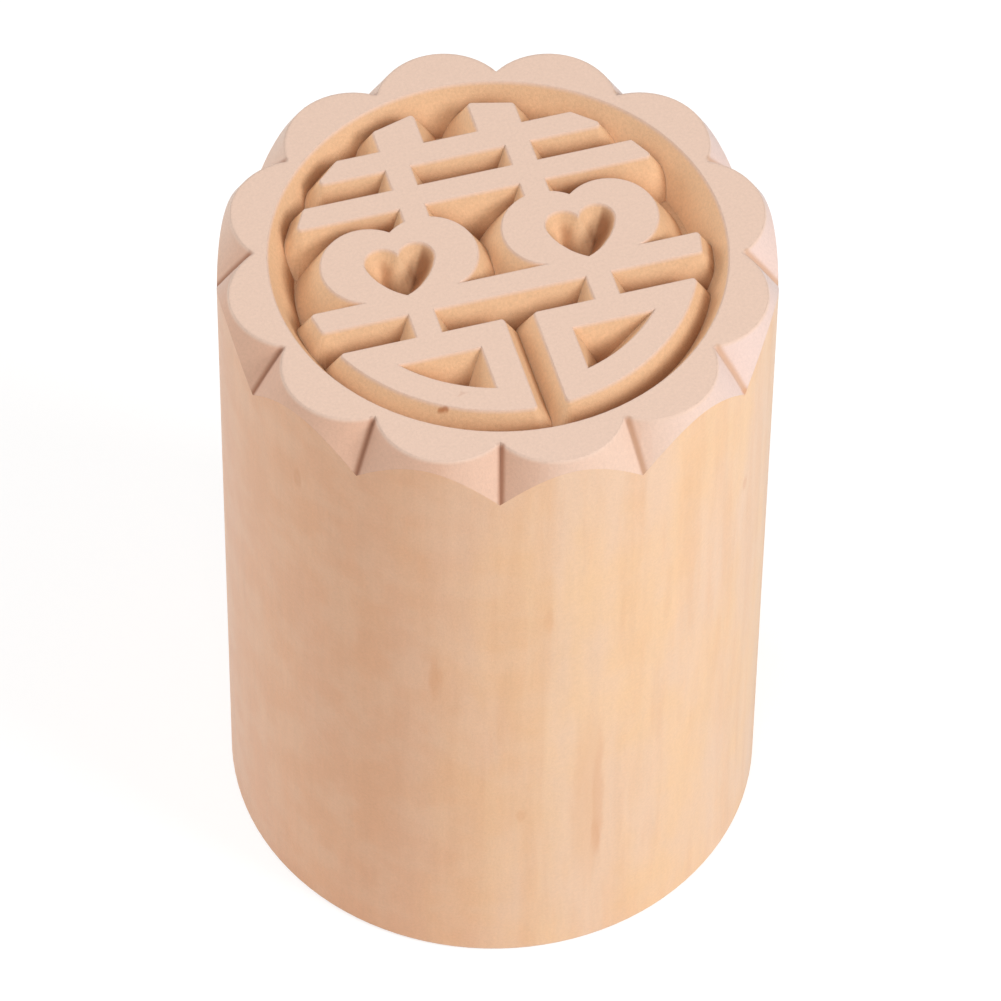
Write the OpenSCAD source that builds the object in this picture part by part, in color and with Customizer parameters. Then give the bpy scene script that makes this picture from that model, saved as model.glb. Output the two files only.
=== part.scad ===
// Hand mold for round cookies and small cakes, turned from one piece of wood.
// The top end is the working face: twelve petals around a recess with a carved
// paired wedding ornament. Every cut of the face is made with the same V cutter,
// so all flanks lean by one angle and narrow grooves close to a sharp bottom.
// The origin is the middle of the flat base, and +Y is the upper side of the ornament.

/* [Blank] */
// Diameter of the turned blank
mold_d = 35; // [32:0.5:45]
// Height of the blank from the base to the working face
mold_h = 50; // [20:1:90]
// Rounding of the lower edge
base_edge_r = 0.4; // [0.1:0.1:2]

/* [Petal rim] */
// Number of petals around the working face
petal_count = 12; // [8:1:16]
// Distance from the blank's surface in to the petal crests at the face
crest_inset = 0.4; // [0.1:0.1:1]
// Depth of the notches between the petals at the face
notch_depth = 1.97; // [1.2:0.1:2.6]
// Angle of all cut flanks from the upright
flank_angle = 29; // [20:1:40]

/* [Recess] */
// Width of the flat rim where a notch comes nearest to the recess
rim_land = 0.78; // [0.4:0.1:2]
// Greatest depth of the carving below the face
carving_depth = 3; // [2:0.1:4]
// Width of the ring groove between the rim and the ornament
ring_groove_w = 1.75; // [1:0.05:2.5]

/* [Ornament strokes] */
// Turn of the ornament against the petals
ornament_turn = 0.7; // [-5:0.1:5]
// Sideways place of the ornament's middle line
ornament_shift = -0.2; // [-0.5:0.1:0.5]
// Width of the bars and stems
stroke_w = 1.55; // [1.2:0.05:1.8]
// Rounding of the strokes' corners on the face
corner_r = 0.2; // [0.1:0.05:0.4]
// Height of the top bar's middle above the ornament's centre
top_bar_y = 9.25; // [9:0.05:9.6]
// Height of the second bar's middle
second_bar_y = 5.95; // [5.7:0.05:6.2]
// Height of the long bar's middle below the ornament's centre
long_bar_drop = 2.5; // [2.2:0.05:2.8]
// Width of the two posts above the top bar
post_w = 2.8; // [2:0.05:3.4]
// Distance of each post from the middle line
post_x = 3.2; // [2.6:0.05:4]
// Distance of each upper stem from the middle line
upper_stem_x = 3.9; // [3:0.05:4.5]
// Distance of each lower stem from the middle line
lower_stem_x = 5.7; // [4.5:0.05:6.5]

/* [Round frames] */
// Distance of each round frame from the middle line
frame_x = 5.84; // [5.4:0.02:6.2]
// Height of the round frames' centres
frame_y = 1.14; // [0.9:0.02:1.4]
// Radius of the two lobes that make a frame
frame_lobe_r = 3; // [2.7:0.05:3.2]
// Distance of a lobe's centre from the middle of its frame
frame_lobe_x = 1.95; // [1.5:0.05:2.1]

/* [Hearts] */
// Radius of the two lobes of a heart
heart_lobe_r = 1.2; // [1.15:0.05:1.4]
// Distance of a lobe's centre from the middle of its heart
heart_lobe_x = 1.08; // [0.7:0.02:1.14]
// Drop of the heart's tip below the lobes' centres
heart_drop = 2.95; // [2.4:0.05:3.1]
// Sideways lean of the tip
heart_lean = -0.3; // [-0.5:0.1:0.5]
// Radius of the two arcs that make a heart's sides
heart_side_r = 4.3; // [3.5:0.1:8]

/* [Lower boxes] */
// Width of the groove between the two boxes
box_gap_w = 1.95; // [1.2:0.05:2.6]
// Depth of the boxes' upper edge below the ornament's centre
box_top_drop = 5.25; // [4.9:0.05:5.6]
// Width of the border above a box's window and outside it
box_border_w = 1.75; // [1.3:0.05:2]
// Width of the border between a box's window and the groove
box_inner_w = 1.9; // [1.3:0.05:2.2]

/* [Hidden] */

round_facets = 96;
lobe_facets = 64;
cutter_facets = 32;
// Steps along the outer arc of a lower box
arc_steps = 12;
// Steps along a heart's lobe, along the lower part of its side, and along half of its valley
lobe_steps = 12;
side_steps = 4;
valley_steps = 3;
// Overlap that lets one solid reach safely into or past another
overlap = 0.5;

flank = tan(flank_angle);
blank_r = mold_d / 2;

// A petal's arc goes through its crest and both of its notches
crest_r = blank_r - crest_inset;
notch_r = crest_r - notch_depth;
petal_step = 360 / petal_count;
notch_across = notch_r * cos(petal_step / 2);
petal_ring_r = (pow(crest_r, 2) - pow(notch_r, 2)) / (2 * (crest_r - notch_across));
petal_r = crest_r - petal_ring_r;

// The flutes run out where two neighbouring petals meet on the blank's surface
run_out_x = blank_r - petal_ring_r * cos(petal_step / 2);
run_out_y = petal_ring_r * sin(petal_step / 2);
flute_h = (norm([run_out_x, run_out_y]) - petal_r) / flank;
notch_cut_h = flute_h + overlap;
// The cut around the petals starts well inside every notch
rim_cut_r = (petal_ring_r + notch_r) / 2;

recess_r = notch_r - rim_land;
ornament_r = recess_r - ring_groove_w;
inset_r = ornament_r - corner_r;
// The cutter's cone is taken from a little above the face to a little below the carving
rise = corner_r / flank;
sink = carving_depth + overlap;
window_r = ornament_r - box_border_w;
window_x = box_gap_w / 2 + box_inner_w;
window_top_drop = box_top_drop + box_border_w;

// Turned blank with its rounded lower edge
module blank() {
  edge = [for (a = [-90:15:0]) [blank_r - base_edge_r * (1 - cos(a)), base_edge_r * (1 + sin(a))]];
  rotate_extrude($fn = round_facets)
    polygon(concat([[0, 0]], edge, [[blank_r, mold_h], [0, mold_h]]));
}

// One petal, which widens downward
module petal() {
  translate([petal_ring_r, 0, mold_h - notch_cut_h - overlap])
    cylinder(
      h = notch_cut_h + 3 * overlap,
      r1 = petal_r + (notch_cut_h + overlap) * flank,
      r2 = petal_r - 2 * overlap * flank,
      $fn = lobe_facets
    );
}

// What is cut away around and between the petals
module rim_cut() {
  difference() {
    translate([0, 0, mold_h - notch_cut_h])
      rotate_extrude($fn = round_facets)
        translate([rim_cut_r, 0])
          square([blank_r + overlap - rim_cut_r, notch_cut_h + overlap]);
    for (i = [0:petal_count - 1])
      rotate(i * petal_step) petal();
  }
}

// Conical recess, which narrows downward from the rim
module recess() {
  translate([0, 0, mold_h - carving_depth])
    cylinder(
      h = carving_depth + overlap,
      r1 = recess_r - carving_depth * flank,
      r2 = recess_r + overlap * flank,
      $fn = round_facets
    );
}

// Piece with straight edges between the corners given, and the cutter's flank all round.
// The corners are set in by the rounding that they have on the face.
module land(corners) {
  hull()
    for (corner = corners)
      translate([corner.x, corner.y, mold_h - sink])
        cylinder(h = sink + rise, r1 = (sink + rise) * flank, r2 = 0, $fn = cutter_facets);
}

// Bar across the whole ornament
module bar(middle_y) {
  edge_y = [for (side = [-1, 1]) middle_y + side * (stroke_w / 2 - corner_r)];
  land([
    for (y = edge_y)
      for (side = [-1, 1])
        [side * sqrt(pow(inset_r, 2) - pow(y, 2)) - ornament_shift, y]
  ]);
}

// Upright stem between two bars or a bar and a frame
module stem(middle_x, from_y, to_y) {
  top_half = stroke_w / 2 - overlap * flank;
  foot_half = stroke_w / 2 + sink * flank;
  translate([middle_x, to_y, mold_h - sink])
    rotate([90, 0, 0])
      linear_extrude(to_y - from_y)
        polygon([
          [-foot_half, 0],
          [foot_half, 0],
          [top_half, sink + overlap],
          [-top_half, sink + overlap]
        ]);
}

// Post that stands on the top bar and ends at the ring groove
module post() {
  edge_x = [for (side = [-1, 1]) post_x + side * (post_w / 2 - corner_r)];
  land([
    for (x = edge_x)
      for (y = [top_bar_y, sqrt(pow(inset_r, 2) - pow(x, 2))])
        [x, y]
  ]);
}

// Round frame of two lobes that rests on the long bar
module round_frame() {
  for (side = [-1, 1])
    translate([frame_x + side * frame_lobe_x, frame_y, mold_h - sink])
      cylinder(
        h = sink + overlap,
        r1 = frame_lobe_r + sink * flank,
        r2 = frame_lobe_r - overlap * flank,
        $fn = lobe_facets
      );
  translate([frame_x - frame_lobe_x, -long_bar_drop, mold_h - sink])
    cube([2 * frame_lobe_x, long_bar_drop + frame_y, sink + overlap]);
}

// Box under the long bar, with its outer side along the ring groove
module box_block() {
  inner_x = box_gap_w / 2 + corner_r;
  top_drop = box_top_drop + corner_r;
  from_angle = -asin(top_drop / inset_r);
  to_angle = -acos(inner_x / inset_r);
  outer = [
    for (i = [0:arc_steps])
      let (a = from_angle + (to_angle - from_angle) * i / arc_steps)
        inset_r * [cos(a), sin(a)]
  ];
  land(concat([[inner_x, -top_drop]], outer));
}

// Outline with its flanks: it narrows downward to a point under the origin.
// The reach is the radius of the largest circle about the origin that fits inside.
module pocket(reach) {
  depth = reach / flank;
  taper = 1 + overlap / depth;
  translate([0, 0, mold_h + overlap])
    mirror([0, 0, 1])
      linear_extrude(depth + overlap, scale = 0.001)
        scale(taper) children();
}

// Window of a lower box: two straight sides and an arc beside the border
module window() {
  sides = window_x + window_top_drop + window_r;
  spare = pow(window_r, 2) - pow(window_x, 2) - pow(window_top_drop, 2);
  reach = sqrt(pow(sides, 2) + spare) - sides;
  middle = [window_x + reach, -window_top_drop - reach];
  translate(middle)
    pocket(reach)
      translate(-middle)
        intersection() {
          circle(r = window_r, $fn = round_facets);
          translate([window_x, -window_r]) square([window_r, window_r - window_top_drop]);
        }
}

// Unit vector at an angle
function heading(angle) = [cos(angle), sin(angle)];

// Points along an arc, from one angle to another
function arc(centre, radius, from_angle, to_angle, steps) = [
  for (i = [0:steps])
    centre + radius * heading(from_angle + (to_angle - from_angle) * i / steps)
];

// Values from one number to another
function spread(from_value, to_value, steps) = [
  for (i = [0:steps]) from_value + (to_value - from_value) * i / steps
];

function angle_of(way) = atan2(way.y, way.x);

// Angle on a heart's lobe at which its side, an arc that ends at the tip, touches the lobe
function touch_angle(lobe, tip, turn) =
  let (
    way = tip - lobe,
    across = norm(way),
    between = heart_side_r - heart_lobe_r,
    share = (pow(heart_side_r, 2) - pow(across, 2) - pow(between, 2)) / (2 * across * between)
  )
  angle_of(way) + turn * acos(share);

// Centre of the arc of a heart's side
function side_centre(lobe, touch) = lobe - (heart_side_r - heart_lobe_r) * heading(touch);

// Distance from the cleft, along an angle, at which the side of the heart is just as far away
function even_reach(from_side, angle) =
  (pow(heart_side_r, 2) - pow(norm(from_side), 2)) /
  (2 * (heart_side_r + from_side * heading(angle)));

// Heart cut with the V cutter: its flanks lean alike from the outline, and they meet in a
// valley that runs from under one lobe, past the cone below the cleft, to under the other.
module heart() {
  tip = [heart_lean, -heart_drop];
  cleft = [0, sqrt(pow(heart_lobe_r, 2) - pow(heart_lobe_x, 2))];
  right = [heart_lobe_x, 0];
  left = [-heart_lobe_x, 0];
  right_touch = touch_angle(right, tip, 1);
  left_touch = 360 + touch_angle(left, tip, -1);
  right_side = side_centre(right, right_touch);
  left_side = side_centre(left, left_touch);

  // The valley lies as far from the cleft as from the nearer side, its middle as far from both
  from_right = cleft - right_side;
  from_left = cleft - left_side;
  right_span = pow(heart_side_r, 2) - pow(norm(from_right), 2);
  left_span = pow(heart_side_r, 2) - pow(norm(from_left), 2);
  balance = right_span * from_left - left_span * from_right;
  turn = acos((left_span - right_span) * heart_side_r / norm(balance));
  middle_angle = (angle_of(balance) + turn + 360) % 360;
  right_angles = spread(360 + angle_of(right - cleft), middle_angle, valley_steps);
  left_angles = spread(middle_angle, 360 + angle_of(left - cleft), valley_steps);
  right_reach = [for (a = right_angles) even_reach(from_right, a)];
  left_reach = [for (a = left_angles) even_reach(from_left, a)];
  right_valley = [for (i = [0:valley_steps]) cleft + right_reach[i] * heading(right_angles[i])];
  left_valley = [for (i = [0:valley_steps]) cleft + left_reach[i] * heading(left_angles[i])];

  // Outline: up the right side from the tip, over both lobes and down the left side
  right_feet = [for (p = right_valley) angle_of(p - right_side)];
  left_feet = [for (p = left_valley) (angle_of(p - left_side) + 360) % 360];
  right_foot = right_feet[valley_steps];
  left_foot = left_feet[0];
  low_right = arc(right_side, heart_side_r, angle_of(tip - right_side), right_foot, side_steps);
  low_left = arc(left_side, heart_side_r, left_foot, 360 + angle_of(tip - left_side), side_steps);
  right_arc = arc(right, heart_lobe_r, right_touch, angle_of(cleft - right), lobe_steps);
  left_arc = arc(left, heart_lobe_r, angle_of(cleft - left), left_touch, lobe_steps);
  outline = concat(
    [for (i = [0:side_steps]) low_right[i]],
    [for (i = [valley_steps - 1:-1:0]) right_side + heart_side_r * heading(right_feet[i])],
    [for (i = [1:lobe_steps]) right_arc[i]],
    [for (i = [1:lobe_steps]) left_arc[i]],
    [for (i = [valley_steps - 1:-1:0]) left_side + heart_side_r * heading(left_feet[i])],
    [for (i = [1:side_steps - 1]) low_left[i]]
  );

  // Points: the outline above the face, the outline on the face, the valley from right to left
  n = len(outline);
  valley_start = 2 * n;
  valley_middle = valley_start + valley_steps;
  valley_end = valley_middle + valley_steps;
  points = concat(
    [for (p = outline) [p.x, p.y, 2 * overlap]],
    [for (p = outline) [p.x, p.y, 0]],
    [for (i = [0:valley_steps]) [right_valley[i].x, right_valley[i].y, -right_reach[i] / flank]],
    [for (i = [1:valley_steps]) [left_valley[i].x, left_valley[i].y, -left_reach[i] / flank]]
  );
  right_start = n + side_steps;
  lobe_start = right_start + valley_steps;
  cleft_point = lobe_start + lobe_steps;
  left_start = cleft_point + lobe_steps;
  left_end = left_start + valley_steps;
  faces = concat(
    [[for (i = [n - 1:-1:0]) i]],
    [for (i = [0:n - 1]) [i, (i + 1) % n, n + (i + 1) % n, n + i]],
    [for (i = [n:right_start - 1]) [i, i + 1, valley_middle]],
    [for (i = [0:valley_steps - 1]) [right_start + i, right_start + i + 1, valley_middle - i]],
    [for (i = [1:valley_steps]) [right_start + i, valley_middle - i, valley_middle - i + 1]],
    [for (i = [lobe_start:cleft_point - 1]) [i, i + 1, valley_start]],
    [for (i = [valley_start:valley_end - 1]) [cleft_point, i + 1, i]],
    [for (i = [cleft_point:left_start - 1]) [i, i + 1, valley_end]],
    [for (i = [0:valley_steps - 1]) [left_start + i, left_start + i + 1, valley_end - i]],
    [for (i = [1:valley_steps]) [left_start + i, valley_end - i, valley_end - i + 1]],
    [for (i = [left_end:2 * n - 1]) [i, n + (i + 1) % n, valley_middle]]
  );
  translate([0, 0, mold_h]) polyhedron(points, faces);
}

// Ornament with the flanks of its outline and of its windows and hearts
module ornament() {
  difference() {
    union() {
      bar(top_bar_y);
      bar(second_bar_y);
      bar(-long_bar_drop);
      for (side = [0, 1])
        mirror([side, 0, 0]) {
          post();
          stem(upper_stem_x, frame_y, top_bar_y);
          stem(lower_stem_x, -window_top_drop + corner_r, -long_bar_drop);
          round_frame();
          box_block();
        }
    }
    for (side = [0, 1])
      mirror([side, 0, 0]) window();
    for (side = [-1, 1])
      translate([side * frame_x, frame_y, 0]) heart();
  }
}

module mold() {
  color("burlywood")
    difference() {
      blank();
      rim_cut();
      difference() {
        recess();
        rotate(ornament_turn)
          translate([ornament_shift, 0, 0]) ornament();
      }
    }
}

mold();
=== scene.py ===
# %% [markdown]
# A wooden hand mold for round cookies, seen a little from above.
# The mold is one turned block of pale wood, so its shape comes whole from the CAD model.
# What is left for Blender is the finish: end grain on the carved face, long grain on the turned side,
# fuzzy walls where the cutter went, and the soft light of a product photograph.

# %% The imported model
import math

import bpy
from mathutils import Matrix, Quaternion, Vector


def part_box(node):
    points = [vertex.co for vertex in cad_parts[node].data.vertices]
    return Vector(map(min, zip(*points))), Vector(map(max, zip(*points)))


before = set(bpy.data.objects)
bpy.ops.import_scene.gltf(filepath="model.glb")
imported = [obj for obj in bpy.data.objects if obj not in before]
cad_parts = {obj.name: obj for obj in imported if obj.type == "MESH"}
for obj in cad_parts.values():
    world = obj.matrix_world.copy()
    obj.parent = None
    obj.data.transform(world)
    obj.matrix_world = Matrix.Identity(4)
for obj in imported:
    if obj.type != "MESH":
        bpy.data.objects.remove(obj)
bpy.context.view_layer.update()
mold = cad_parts["mold"]
low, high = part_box("mold")
radius = (high[0] - low[0]) / 2
height = high[2] - low[2]
MM = 1000
print("mold radius and height in mm:", round(radius * MM, 2), round(height * MM, 2))

# %% [markdown]
# The photograph is taken with a long lens from about half a metre, so the mold's side tapers only a little.
# A camera could be placed by hand until the picture fits. Here it is placed by two angles and a distance from
# the point that it looks at, because those can be read off the photograph one by one, and it is then rolled
# by the small angle that the photograph leans. Lengths are multiples of the mold's radius.

# %% Camera
VIEW_AZIMUTH = math.radians(-16.07)
VIEW_ELEVATION = math.radians(51.13)
VIEW_ROLL = math.radians(0.765)
VIEW_DISTANCE = 27.17 * radius
AIM = Vector((0.0193 * radius, -0.0056 * radius, height - 1.3985 * radius))
LENS_MM = 264.8
SENSOR_MM = 36
FARTHEST_SEEN = 10  # m


def direction(azimuth, elevation):
    """Unit vector towards a viewer or a lamp. Azimuth 0 is in front, at -Y, and 90 degrees is at +X."""
    return Vector((
        math.sin(azimuth) * math.cos(elevation),
        -math.cos(azimuth) * math.cos(elevation),
        math.sin(elevation),
    ))


def turned_towards(way):
    """The turn of a camera or a lamp that looks along this way."""
    return way.to_track_quat("-Z", "Y")


def put_in_scene(name, data, location):
    made = bpy.data.objects.new(name, data)
    bpy.context.scene.collection.objects.link(made)
    made.location = location
    return made


toward_camera = direction(VIEW_AZIMUTH, VIEW_ELEVATION)
camera_data = bpy.data.cameras.new("camera")
camera_data.lens = LENS_MM
camera_data.sensor_width = SENSOR_MM
camera_data.clip_end = FARTHEST_SEEN
camera = put_in_scene("camera", camera_data, AIM + VIEW_DISTANCE * toward_camera)
camera.rotation_mode = "QUATERNION"
camera.rotation_quaternion = turned_towards(-toward_camera) @ Quaternion((0, 0, 1), VIEW_ROLL)
bpy.context.scene.camera = camera
print("camera distance in mm:", round(VIEW_DISTANCE * MM, 1))

# %% [markdown]
# Materials are graphs of nodes. They could be drawn by hand in the shader editor, but a graph of this size is
# easier to read as sums in code. One helper adds a node and fills its inputs with numbers or with other
# nodes' outputs, and the others wrap the sums and ramps that come up again and again.

# %% Helpers that add nodes
def add(tree, kind, inputs=None, **settings):
    """A new node, with its settings and its inputs given as numbers or as sockets to link."""
    made = tree.nodes.new(kind)
    for name, value in settings.items():
        setattr(made, name, value)
    for key, value in (inputs or {}).items():
        if isinstance(value, bpy.types.NodeSocket):
            tree.links.new(value, made.inputs[key])
        else:
            made.inputs[key].default_value = value
    return made


def new_material(name):
    """An empty material and its tree of nodes."""
    made = bpy.data.materials.new(name)
    made.use_nodes = True
    made.node_tree.nodes.clear()
    return made, made.node_tree


def maths(tree, operation, a, b=0.0):
    return add(tree, "ShaderNodeMath", {0: a, 1: b}, operation=operation).outputs[0]


def times(tree, first, *others):
    """Product of two or more values."""
    for other in others:
        first = maths(tree, "MULTIPLY", first, other)
    return first


def vector_maths(tree, operation, a, b=(0, 0, 0)):
    return add(tree, "ShaderNodeVectorMath", {0: a, 1: b}, operation=operation).outputs


helpers = (add, new_material, maths, times, vector_maths)
print("helpers:", ", ".join(helper.__name__ for helper in helpers))

# %% [markdown]
# A ramp turns a measure into a share from 0 to 1 without a kink at either end. A mix lays one colour over
# another by such a share. Noise is the raw stuff of wood: stretched along the fibres it becomes grain.

# %% Helpers for ramps, mixes and noise
SCREEN_GAMMA = 2.2


def ramp(tree, value, from_min, from_max, to_min=0.0, to_max=1.0):
    """Smooth step of a value between two limits."""
    return add(tree, "ShaderNodeMapRange", {
        "Value": value, "From Min": from_min, "From Max": from_max, "To Min": to_min, "To Max": to_max,
    }, interpolation_type="SMOOTHSTEP").outputs["Result"]


def mix(tree, factor, a, b, blend="MIX"):
    """Colour b over colour a. The mix node keeps its colour inputs at places 6 and 7."""
    return add(
        tree, "ShaderNodeMix", {0: factor, 6: a, 7: b}, data_type="RGBA", blend_type=blend,
    ).outputs[2]


def noise(tree, place, scale, detail=2.0, roughness=0.5):
    return add(tree, "ShaderNodeTexNoise", {
        "Vector": place, "Scale": scale, "Detail": detail, "Roughness": roughness,
    }).outputs["Fac"]


def stretched(tree, place, factors):
    """The place with each of its directions multiplied, which stretches a pattern along the small ones."""
    return vector_maths(tree, "MULTIPLY", place, factors)[0]


def colour(red, green, blue):
    """A colour given as the 0 to 255 values that a picture editor shows."""
    return tuple((value / 255) ** SCREEN_GAMMA for value in (red, green, blue)) + (1.0,)


print("middle grey in light:", round(colour(128, 128, 128)[0], 3))

# %% [markdown]
# The wood is one material whose parts are told apart by where a point lies on the mold. Painting a mask by
# hand would work too, but a mask from measures stays right when the model changes a little. Object
# coordinates are in metres, so they are turned into millimetres first, the unit that a wood turner thinks in.

# %% Distances and directions
wood, tree = new_material("pale_turned_wood")
place = stretched(tree, add(tree, "ShaderNodeTexCoord").outputs["Object"], (MM, MM, MM))
to_x, to_y, to_z = add(tree, "ShaderNodeSeparateXYZ", {0: place}).outputs
across = add(tree, "ShaderNodeCombineXYZ", {0: to_x, 1: to_y}).outputs[0]
from_axis = vector_maths(tree, "LENGTH", across)["Value"]
below_face = maths(tree, "SUBTRACT", height * MM, to_z)
turn = maths(tree, "ARCTAN2", to_y, to_x)
facing = add(tree, "ShaderNodeNewGeometry").outputs["True Normal"]
to_right, _, upward = add(tree, "ShaderNodeSeparateXYZ", {0: facing}).outputs
print("measures ready in", len(tree.nodes), "nodes")

# %% [markdown]
# A mask is 1 on its part of the mold and 0 elsewhere, and runs smoothly from one to the other. Four are
# enough: the carved end as a whole, the turned side, the flanks of the petals and the walls of the recess.
# Each pair of numbers gives the two measures, in mm, between which a mask comes or goes.

# %% Masks
RECESS_R = 14.35
NOTCH_R = 15.13
CARVED_END = (8, 10)
CUT_BELOW = (0.02, 0.3)
SIDE_FROM = (radius * MM - 0.6, radius * MM - 0.45)
SIDE_UPWARD = (0.1, 0.3)
FLANK_FROM = (RECESS_R + 0.15, NOTCH_R)
WALL_UP_TO = (RECESS_R - 0.05, RECESS_R + 0.15)

carved_end = ramp(tree, below_face, *CARVED_END, 1.0, 0.0)
cut = times(tree, carved_end, ramp(tree, below_face, *CUT_BELOW))
side = times(tree, ramp(tree, from_axis, *SIDE_FROM), ramp(tree, upward, *SIDE_UPWARD, 1.0, 0.0))
flank = times(tree, cut, ramp(tree, from_axis, *FLANK_FROM))
wall = times(tree, cut, ramp(tree, from_axis, *WALL_UP_TO, 1.0, 0.0))
print("the recess ends", RECESS_R, "mm and the notches", NOTCH_R, "mm from the axis")

# %% [markdown]
# The turned side shows long grain, cut along the fibres: warm, smooth, with slow bands and paler blotches.
# A picture of wood could be wrapped round it, but its grain would not run through the block. Noises that are
# taken in the block do, and stretched along the fibres they mix close tones into bands. The left of the side
# lies in shade and is darker and redder, so one more tone comes in there as painted shade.

# %% Long grain of the side
WARM_GRAIN = colour(245, 201, 157)
PINK_GRAIN = colour(241, 202, 170)
BAND_GRAIN = colour(234, 182, 137)
LEFT_SIDE_SHADE = colour(232, 173, 133)
MOTTLE_STRETCH = (0.22, 0.22, 0.07)
BAND_STRETCH = (0.5, 0.5, 0.045)
BLOTCH_SCALE = 0.3
# Ramps: the two measures, then the share at the first and at the second
PINK_MOTTLE = (0.35, 0.65, 0.0, 1.0)
DARK_BANDS = (0.42, 0.66, 0.0, 0.45)
SHADE_AT_LEFT_OF_SIDE = (-13, 1, 0.85, 0.0)
PINK_BLOTCHES = (0.35, 0.7, 0.0, 0.3)

mottle = noise(tree, stretched(tree, place, MOTTLE_STRETCH), 1.0, detail=3.0, roughness=0.55)
bands = noise(tree, stretched(tree, place, BAND_STRETCH), 1.0, detail=3.0, roughness=0.6)
blotches = noise(tree, place, BLOTCH_SCALE, detail=2.0, roughness=0.6)
long_grain = mix(tree, ramp(tree, mottle, *PINK_MOTTLE), WARM_GRAIN, PINK_GRAIN)
long_grain = mix(tree, ramp(tree, bands, *DARK_BANDS), long_grain, BAND_GRAIN)
# Painted shade: the left of the side is darker and redder.
long_grain = mix(tree, ramp(tree, to_x, *SHADE_AT_LEFT_OF_SIDE), long_grain, LEFT_SIDE_SHADE)
long_grain = mix(tree, ramp(tree, blotches, *PINK_BLOTCHES), long_grain, PINK_GRAIN)
print("bands and blotches about so many mm:", 1 / BAND_STRETCH[0], round(1 / BLOTCH_SCALE, 1))

# %% [markdown]
# The flat face and the flanks of the petals show end grain, cut across the fibres: pale and pinkish. The
# flanks at the left and those that face left get a browner painted shade, and those at the right a paler
# painted light. The lamps alone did not bring that about, so these two tones come in by place and facing. The
# walls of the recess are warmer again, with painted light where they face left.

# %% End grain and cut walls
END_GRAIN = colour(233, 201, 181)
FLANK_PAINTED_SHADE = colour(223, 179, 153)
FLANK_PAINTED_LIGHT = colour(232, 204, 193)
CUT_WALL = colour(230, 188, 148)
WALL_PAINTED_LIGHT = colour(239, 199, 159)
SHADE_AT_LEFT = (-16, 10, 1.0, 0.0)
SHADE_FACING_LEFT = (-0.5, -0.1, 0.45, 0.0)
SHADE_IN_FRONT = (2, 9, 1.0, 0.0)
LIGHT_AT_RIGHT = (4, 13, 0.0, 1.0)
LIT_FACING_LEFT = (-0.7, -0.3, 1.0, 0.0)

# Painted shade on the flanks at the left and on those that face left, painted light on the flanks at the
# right.
flank_painted_shade = maths(tree, "ADD", ramp(tree, to_x, *SHADE_AT_LEFT), ramp(tree, to_right, *SHADE_FACING_LEFT))
flank_painted_shade = maths(tree, "MINIMUM", flank_painted_shade, 1.0)
flank_painted_shade = times(tree, flank_painted_shade, ramp(tree, to_y, *SHADE_IN_FRONT), flank)
flank_painted_light = times(tree, flank, ramp(tree, to_x, *LIGHT_AT_RIGHT))
# Painted light: recess walls that face left are lighter.
wall_tone_and_painted_light = mix(tree, ramp(tree, to_right, *LIT_FACING_LEFT), CUT_WALL, WALL_PAINTED_LIGHT)

base = mix(tree, flank_painted_shade, END_GRAIN, FLANK_PAINTED_SHADE)
base = mix(tree, flank_painted_light, base, FLANK_PAINTED_LIGHT)
base = mix(tree, wall, base, wall_tone_and_painted_light)
base = mix(tree, side, base, long_grain)
print("base colours mixed in", len(tree.nodes), "nodes")

# %% [markdown]
# Fibres show as long thin streaks on the side and as a fine speckle where they are cut. They could be mixed
# in as colours, but multiplying keeps the tone of the wood under them. Both are noises that vary round a
# half, so the base colour is multiplied by one plus what is over or under it. The shares say how strongly
# each shows on the cut wood and on the side.

# %% Streaks and speckle
STREAK_STRETCH = (1.3, 1.3, 0.12)
SPECKLE_SCALE = 5.0
STREAK_SHARE = (0.05, 0.12)
SPECKLE_SHARE = (0.26, 0.2)
FUZZY_WALL = 0.15

streaks = noise(tree, stretched(tree, place, STREAK_STRETCH), 1.0, detail=5.0, roughness=0.65)
speckle = noise(tree, place, SPECKLE_SCALE, detail=3.0, roughness=0.75)
streak_share = ramp(tree, side, 0, 1, *STREAK_SHARE)
speckle_share = maths(tree, "ADD", ramp(tree, side, 0, 1, *SPECKLE_SHARE), times(tree, wall, FUZZY_WALL))
streaked = times(tree, maths(tree, "SUBTRACT", streaks, 0.5), streak_share)
speckled = times(tree, maths(tree, "SUBTRACT", speckle, 0.5), speckle_share)
shade = maths(tree, "ADD", maths(tree, "ADD", streaked, speckled), 1.0)
tint = add(tree, "ShaderNodeCombineColor", {0: shade, 1: shade, 2: shade}).outputs[0]
toned = mix(tree, 1.0, base, tint, "MULTIPLY")
print("speckles about", 1 / SPECKLE_SCALE, "mm across")

# %% [markdown]
# The bottoms of narrow grooves get a brown painted shade, where little light gets in. They could be masked by
# depth, but the wide grooves are as deep and stay pale. So the ambient occlusion node measures how much open
# sky a point sees, which is least in the narrow ones. Walls that face left get less of this painted shade,
# and so do those that face straight right, apart from the recess's own wall at the left.

# %% Painted shade in the grooves
PAINTED_SHADE_BROWN = colour(146, 84, 46)
SKY_REACH = 0.0016  # m
OPEN_SKY = (0.18, 0.66)
MOST_PAINTED_SHADE = 0.95
PAINTED_SHADE_BY_FACING = (-0.7, -0.05, 0.12, 0.9)
EASED_FACING = (0.68, 0.86, 0.0, 1.0)
EASED_PLACE = (-9, -5, 0.0, 0.5)

open_sky = add(
    tree, "ShaderNodeAmbientOcclusion", {"Distance": SKY_REACH}, samples=4, only_local=True,
).outputs["AO"]
by_facing = ramp(tree, to_right, *PAINTED_SHADE_BY_FACING)
eased = times(tree, ramp(tree, to_right, *EASED_FACING), ramp(tree, to_x, *EASED_PLACE))
by_facing = times(tree, by_facing, maths(tree, "SUBTRACT", 1.0, eased))
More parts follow.
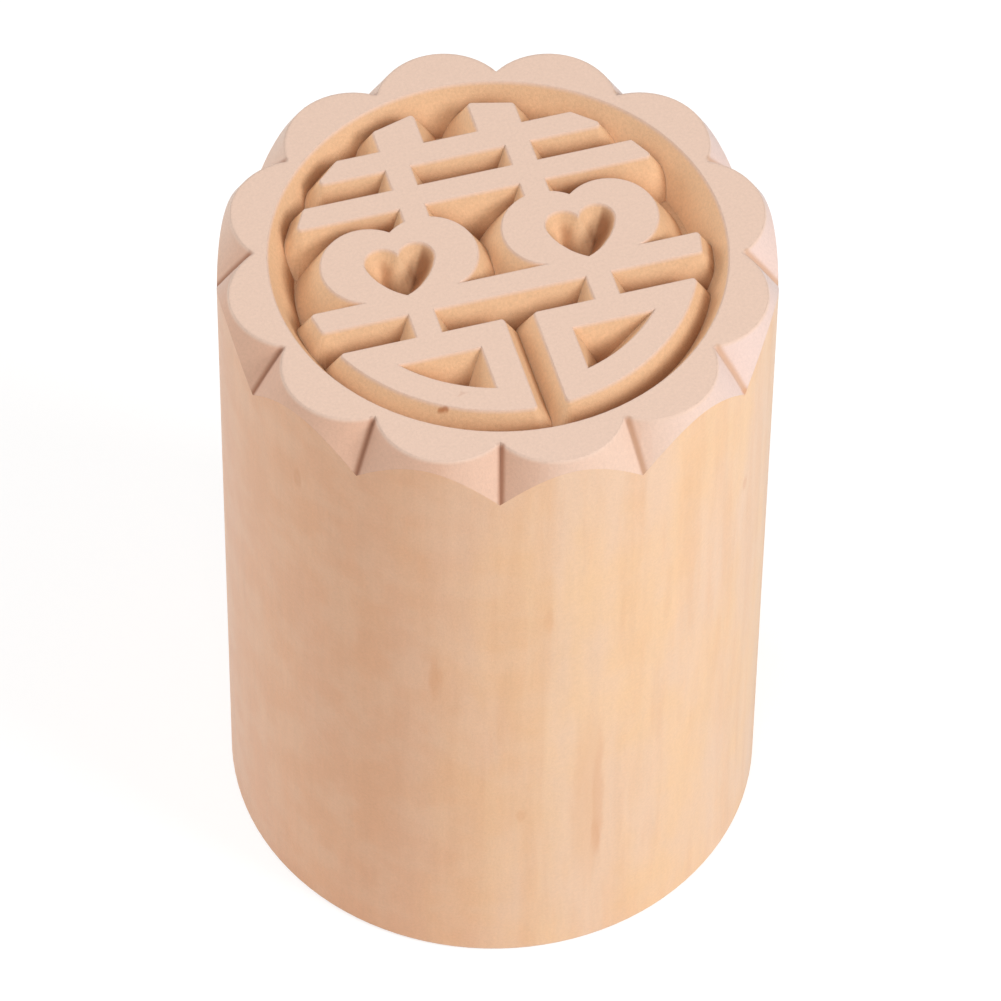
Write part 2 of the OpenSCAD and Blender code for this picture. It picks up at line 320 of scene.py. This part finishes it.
# Painted shade: darker where less sky is open, weighted by the way a wall faces.
painted_shade = times(tree, ramp(tree, open_sky, *OPEN_SKY, MOST_PAINTED_SHADE, 0.0), by_facing)
print("grooves brown where less than", OPEN_SKY[1], "of the sky is open")

# %% [markdown]
# The two hearts are pits with their own pattern of brown painted shade: deep down and along the right side,
# with a softer band in the left lobe. A painted mask could hold it, but measures move with the model. The
# right side is found along a slanting way, to the right and a little to the front. Inside a circle round each
# heart, this pattern takes the place of the painted shade for grooves.

# %% Painted shade in the hearts
HEARTS = ((-6.05, 1.07), (5.63, 1.21))
HEART_FRONT = 0.75  # mm from a heart's centre to the middle of its circle
HEART_CIRCLE = (2.7, 3.0)
RIGHT_WAY = (1, -0.45, 0)
RIGHT_FROM, RIGHT_TO = 0.65, 1.45
RIGHT_DEPTH = 2.3  # mm that the right side counts as deeper
DEEP = (1.8, 3.3, 0.0, 0.75)
LOBE_FROM, LOBE_FULL, LOBE_PAST, LOBE_TO = -1.35, -0.8, -0.75, -0.1
LOBE_BELOW = (0.5, 1.3, 0.0, 0.45)

right_way = vector_maths(tree, "DOT_PRODUCT", across, RIGHT_WAY)["Value"]
for x, y in HEARTS:
    middle = x * RIGHT_WAY[0] + y * RIGHT_WAY[1]
    off = vector_maths(tree, "DISTANCE", across, (x, y - HEART_FRONT, 0))["Value"]
    inside = ramp(tree, off, *HEART_CIRCLE, 1.0, 0.0)
    # Painted shade in the heart: deep down, along its right side and in its left lobe.
    at_right = ramp(tree, right_way, middle + RIGHT_FROM, middle + RIGHT_TO, 0.0, RIGHT_DEPTH)
    deep = ramp(tree, maths(tree, "ADD", below_face, at_right), *DEEP)
    lobe = times(
        tree,
        ramp(tree, to_x, x + LOBE_FROM, x + LOBE_FULL),
        ramp(tree, to_x, x + LOBE_PAST, x + LOBE_TO, 1.0, 0.0),
        ramp(tree, below_face, *LOBE_BELOW),
    )
    painted_shade = times(tree, painted_shade, maths(tree, "SUBTRACT", 1.0, inside))
    painted_shade = maths(tree, "ADD", painted_shade, times(tree, inside, maths(tree, "MAXIMUM", deep, lobe)))
toned = mix(tree, times(tree, painted_shade, wall), toned, PAINTED_SHADE_BROWN)
print("hearts:", len(HEARTS))

# %% [markdown]
# Where two petals meet, a thin line of painted shade lies at the bottom of the flute. A groove in the mesh
# would change the CAD shape, so the line is drawn by the material. The turn round the axis is folded into one
# petal's share, and one line serves all twelve. The painted shade is lighter at the right, and away from the
# left it lies a hair further round than the crease itself.

# %% Painted shade along the flutes
DARK_CREASE_SHADE = colour(160, 104, 76)
PALE_CREASE_SHADE = colour(206, 162, 130)
PETALS = 12
LINE_SHIFT = 0.12  # mm
LINE_WIDTH = (0.02, 0.34)
LINE_START = (NOTCH_R, NOTCH_R + 0.35)
LINE_END = (0.2, 1.0, 1.0, 0.0)
LINE_STRENGTH = 0.8
LIGHTER_AT_RIGHT = (0, 7, 0.0, 1.0)
SHIFTED_FROM_LEFT = (-10, 0, 0.0, LINE_SHIFT)

petal_turn = 2 * math.pi / PETALS
folded = maths(tree, "FRACT", maths(tree, "DIVIDE", turn, petal_turn))
off_line = times(tree, maths(tree, "SUBTRACT", folded, 0.5), petal_turn, from_axis)
off_line = maths(tree, "SUBTRACT", off_line, ramp(tree, to_x, *SHIFTED_FROM_LEFT))
# Painted shade: a thin dark line along the bottom of each flute, paler at the right.
crease_shade = ramp(tree, maths(tree, "ABSOLUTE", off_line), *LINE_WIDTH, 1.0, 0.0)
crease_shade = times(tree, crease_shade, ramp(tree, from_axis, *LINE_START), ramp(tree, side, *LINE_END))
crease_shade = times(tree, crease_shade, carved_end, LINE_STRENGTH)
crease_shade_tone = mix(tree, ramp(tree, to_x, *LIGHTER_AT_RIGHT), DARK_CREASE_SHADE, PALE_CREASE_SHADE)
toned = mix(tree, crease_shade, toned, crease_shade_tone)
print("dark lines:", PETALS)

# %% [markdown]
# A few small marks make this one mold and no other: rusty specks at the carved end and darker streaks on the
# side. They could be little pictures laid on the wood, but soft spots round a centre need no image, and the
# streaks are only spots that are long along the fibres. Noise shakes the place first, so that none of them is
# a neat oval.

# %% Marks
RUST = colour(170, 100, 56)
STREAK = colour(216, 146, 96)
# Centre and radii in mm, colour and strength
MARKS = (
    ((-6.45, -11.05, 49.65), (0.5, 0.3, 0.45), RUST, 0.75),
    ((-5.28, -10.37, 50.0), (0.6, 0.2, 0.2), RUST, 0.18),
    ((-13.6, -10.1, 48.9), (0.32, 0.32, 0.32), RUST, 0.4),
    ((-15.1, 4.2, 49.95), (0.3, 0.22, 0.3), RUST, 0.4),
    ((16.15, -6.75, 49.6), (0.15, 0.3, 0.2), RUST, 0.4),
    ((-15.16, -8.74, 43.1), (0.45, 0.45, 1.3), STREAK, 0.35),
    ((-8.21, -15.45, 28.9), (0.5, 0.5, 2.8), STREAK, 0.3),
    ((-1.36, -17.45, 34.8), (0.45, 0.45, 1.6), STREAK, 0.15),
    ((-2.95, -17.25, 14.85), (0.55, 0.55, 0.9), STREAK, 0.2),
    ((12.88, -11.84, 37.3), (0.45, 0.45, 0.9), STREAK, 0.3),
    ((12.37, -12.38, 47.1), (0.4, 0.4, 0.7), STREAK, 0.5),
    ((1.4, -17.43, 15.5), (1.6, 1.4, 12.0), BAND_GRAIN, 0.4),
    ((2.15, -17.37, 16.0), (0.5, 0.5, 9.0), STREAK, 0.2),
    ((2.05, -17.36, 11.0), (0.45, 0.45, 2.6), STREAK, 0.25),
)
SHAKE_STRETCH = (1.6, 1.6, 0.35)
SHAKE = 0.7  # mm
MARK_EDGE = (0.35, 1.0)

shake = add(tree, "ShaderNodeTexNoise", {
    "Vector": stretched(tree, place, SHAKE_STRETCH), "Scale": 1.0, "Detail": 2.0,
}).outputs["Color"]
shake = vector_maths(tree, "SUBTRACT", shake, (0.5, 0.5, 0.5))[0]
shaken = vector_maths(tree, "ADD", stretched(tree, shake, (SHAKE, SHAKE, SHAKE)), place)[0]
for centre, radii, tone, strength in MARKS:
    off = vector_maths(tree, "SUBTRACT", shaken, centre)[0]
    off = vector_maths(tree, "LENGTH", stretched(tree, off, [1 / r for r in radii]))["Value"]
    toned = mix(tree, times(tree, ramp(tree, off, *MARK_EDGE, 1.0, 0.0), strength), toned, tone)
print("marks on the wood:", len(MARKS))

# %% [markdown]
# Sanding has broken the sharp edges by about one to three tenths of a millimetre. A bevel in the mesh would
# change the CAD shape, so the bevel node bends the shading alone: wider on the petals, narrow in the recess
# and at the turned side. Fibres standing up on the wood are the speckle again, as a low bump.

# %% Soft edges and fuzz
EDGE_R = (0.00013, 0.0003)  # m, in the recess and on the petals
EDGE_FROM = (RECESS_R + 0.3, NOTCH_R)
RIM_END = (16.6, 17.4)
RIM_END_SHARE = 0.3
FUZZ_HEIGHT = 0.0001  # m

edge_r = ramp(tree, from_axis, *EDGE_FROM, *EDGE_R)
edge_r = times(tree, edge_r, ramp(tree, from_axis, *RIM_END, 1.0, RIM_END_SHARE))
soft = add(tree, "ShaderNodeBevel", {"Radius": edge_r}, samples=4).outputs[0]
relief = add(tree, "ShaderNodeBump", {
    "Strength": 0.25, "Distance": FUZZ_HEIGHT, "Height": speckle, "Normal": soft,
}).outputs[0]
print("edges softened by up to", EDGE_R[1] * MM, "mm")

# %% [markdown]
# Bare sanded wood is matt, so the surface is rough and reflects little. A light sheen stands for the fine
# fuzz that catches light at a slant. It is kept off the recess, where it would make the painted shade there
# grey.

# %% The wood's surface
SHEEN = 0.35

shader = add(tree, "ShaderNodeBsdfPrincipled", {
    "Base Color": toned,
    "Normal": relief,
    "Roughness": 0.62,
    "Specular IOR Level": 0.3,
    "Sheen Weight": times(tree, maths(tree, "SUBTRACT", 1.0, wall), SHEEN),
    "Sheen Roughness": 0.4,
})
add(tree, "ShaderNodeOutputMaterial", {0: shader.outputs[0]})
for slot in mold.material_slots:
    slot.material = wood
print("material:", wood.name, "with", len(tree.nodes), "nodes")

# %% [markdown]
# The photograph's background is white. A lamp strong enough to burn the floor out would burn the mold too.
# So the floor glows a little to the camera alone, and the rest of its brightness is the lamps' light, which
# keeps the mold's soft shadow on it. To all else it is plain pale paper.

# %% Floor
FLOOR_SIZE = 6.0
FLOOR_GLOW = 0.7
PAPER = (0.8, 0.8, 0.8, 1)
SHOWN_PAPER = (0.4, 0.4, 0.4, 1)

pale_floor, floor_tree = new_material("pale_floor")
ray = add(floor_tree, "ShaderNodeLightPath").outputs
seen = maths(floor_tree, "ADD", ray["Is Camera Ray"], ray["Is Glossy Ray"])
seen = maths(floor_tree, "ADD", seen, ray["Is Transmission Ray"])
seen = maths(floor_tree, "MINIMUM", seen, 1.0)
paper = add(floor_tree, "ShaderNodeBsdfDiffuse", {"Color": PAPER}).outputs[0]
shown = add(floor_tree, "ShaderNodeBsdfDiffuse", {"Color": SHOWN_PAPER}).outputs[0]
glow = add(floor_tree, "ShaderNodeEmission", {"Color": (1, 1, 1, 1), "Strength": FLOOR_GLOW}).outputs[0]
bright = add(floor_tree, "ShaderNodeAddShader", {0: shown, 1: glow}).outputs[0]
both = add(floor_tree, "ShaderNodeMixShader", {0: seen, 1: paper, 2: bright}).outputs[0]
add(floor_tree, "ShaderNodeOutputMaterial", {0: both})

bpy.ops.object.select_all(action="DESELECT")
bpy.ops.mesh.primitive_plane_add(size=FLOOR_SIZE, location=(0, 0, low[2]))
floor = bpy.context.object
floor.name = "floor"
floor.data.materials.append(pale_floor)
print("floor size in m:", FLOOR_SIZE)

# %% [markdown]
# The photograph's light is soft and comes from both sides. A picture of a studio could give it, but three
# large soft lamps are easier to set one by one. The one on the right stands low, brightens the right side and
# the petals, and leaves the lower part of right-facing groove walls in shade. The one on the left stands
# higher and reaches down the other walls. A weak low one behind on the left lights the backs of the petals.

# %% Lamps
# Name, azimuth and elevation in degrees, distance and size in m, power in W
LAMPS = (
    ("right_lamp", 48, 36, 0.6, 0.25, 2.0),
    ("left_lamp", -40, 60, 0.6, 0.35, 1.05),
    ("back_lamp", -135, 20, 0.6, 0.3, 1.0),
)
LAMP_AIM = Vector((0, 0, height * 0.6))

for name, azimuth, elevation, distance, size, power in LAMPS:
    lamp_data = bpy.data.lights.new(name, "AREA")
    lamp_data.shape = "DISK"
    lamp_data.size = size
    lamp_data.energy = power
    toward = direction(math.radians(azimuth), math.radians(elevation))
    lamp = put_in_scene(name, lamp_data, LAMP_AIM + distance * toward)
    lamp.rotation_euler = turned_towards(-toward).to_euler()
print("lamps:", len(LAMPS))

# %% [markdown]
# The room round the mold fills the shadows. It is the world, plain white and weak, because a room with walls
# would cast light the same way at more cost. The Standard view shows a colour about as it is written, where
# the usual film-like view would make the pale wood greyer.

# %% White room
ROOM_STRENGTH = 0.36

world = bpy.data.worlds.new("white_room")
world.use_nodes = True
background = world.node_tree.nodes["Background"]
background.inputs["Color"].default_value = (1, 1, 1, 1)
background.inputs["Strength"].default_value = ROOM_STRENGTH
bpy.context.scene.world = world
bpy.context.scene.view_settings.view_transform = "Standard"
print("room strength:", ROOM_STRENGTH)
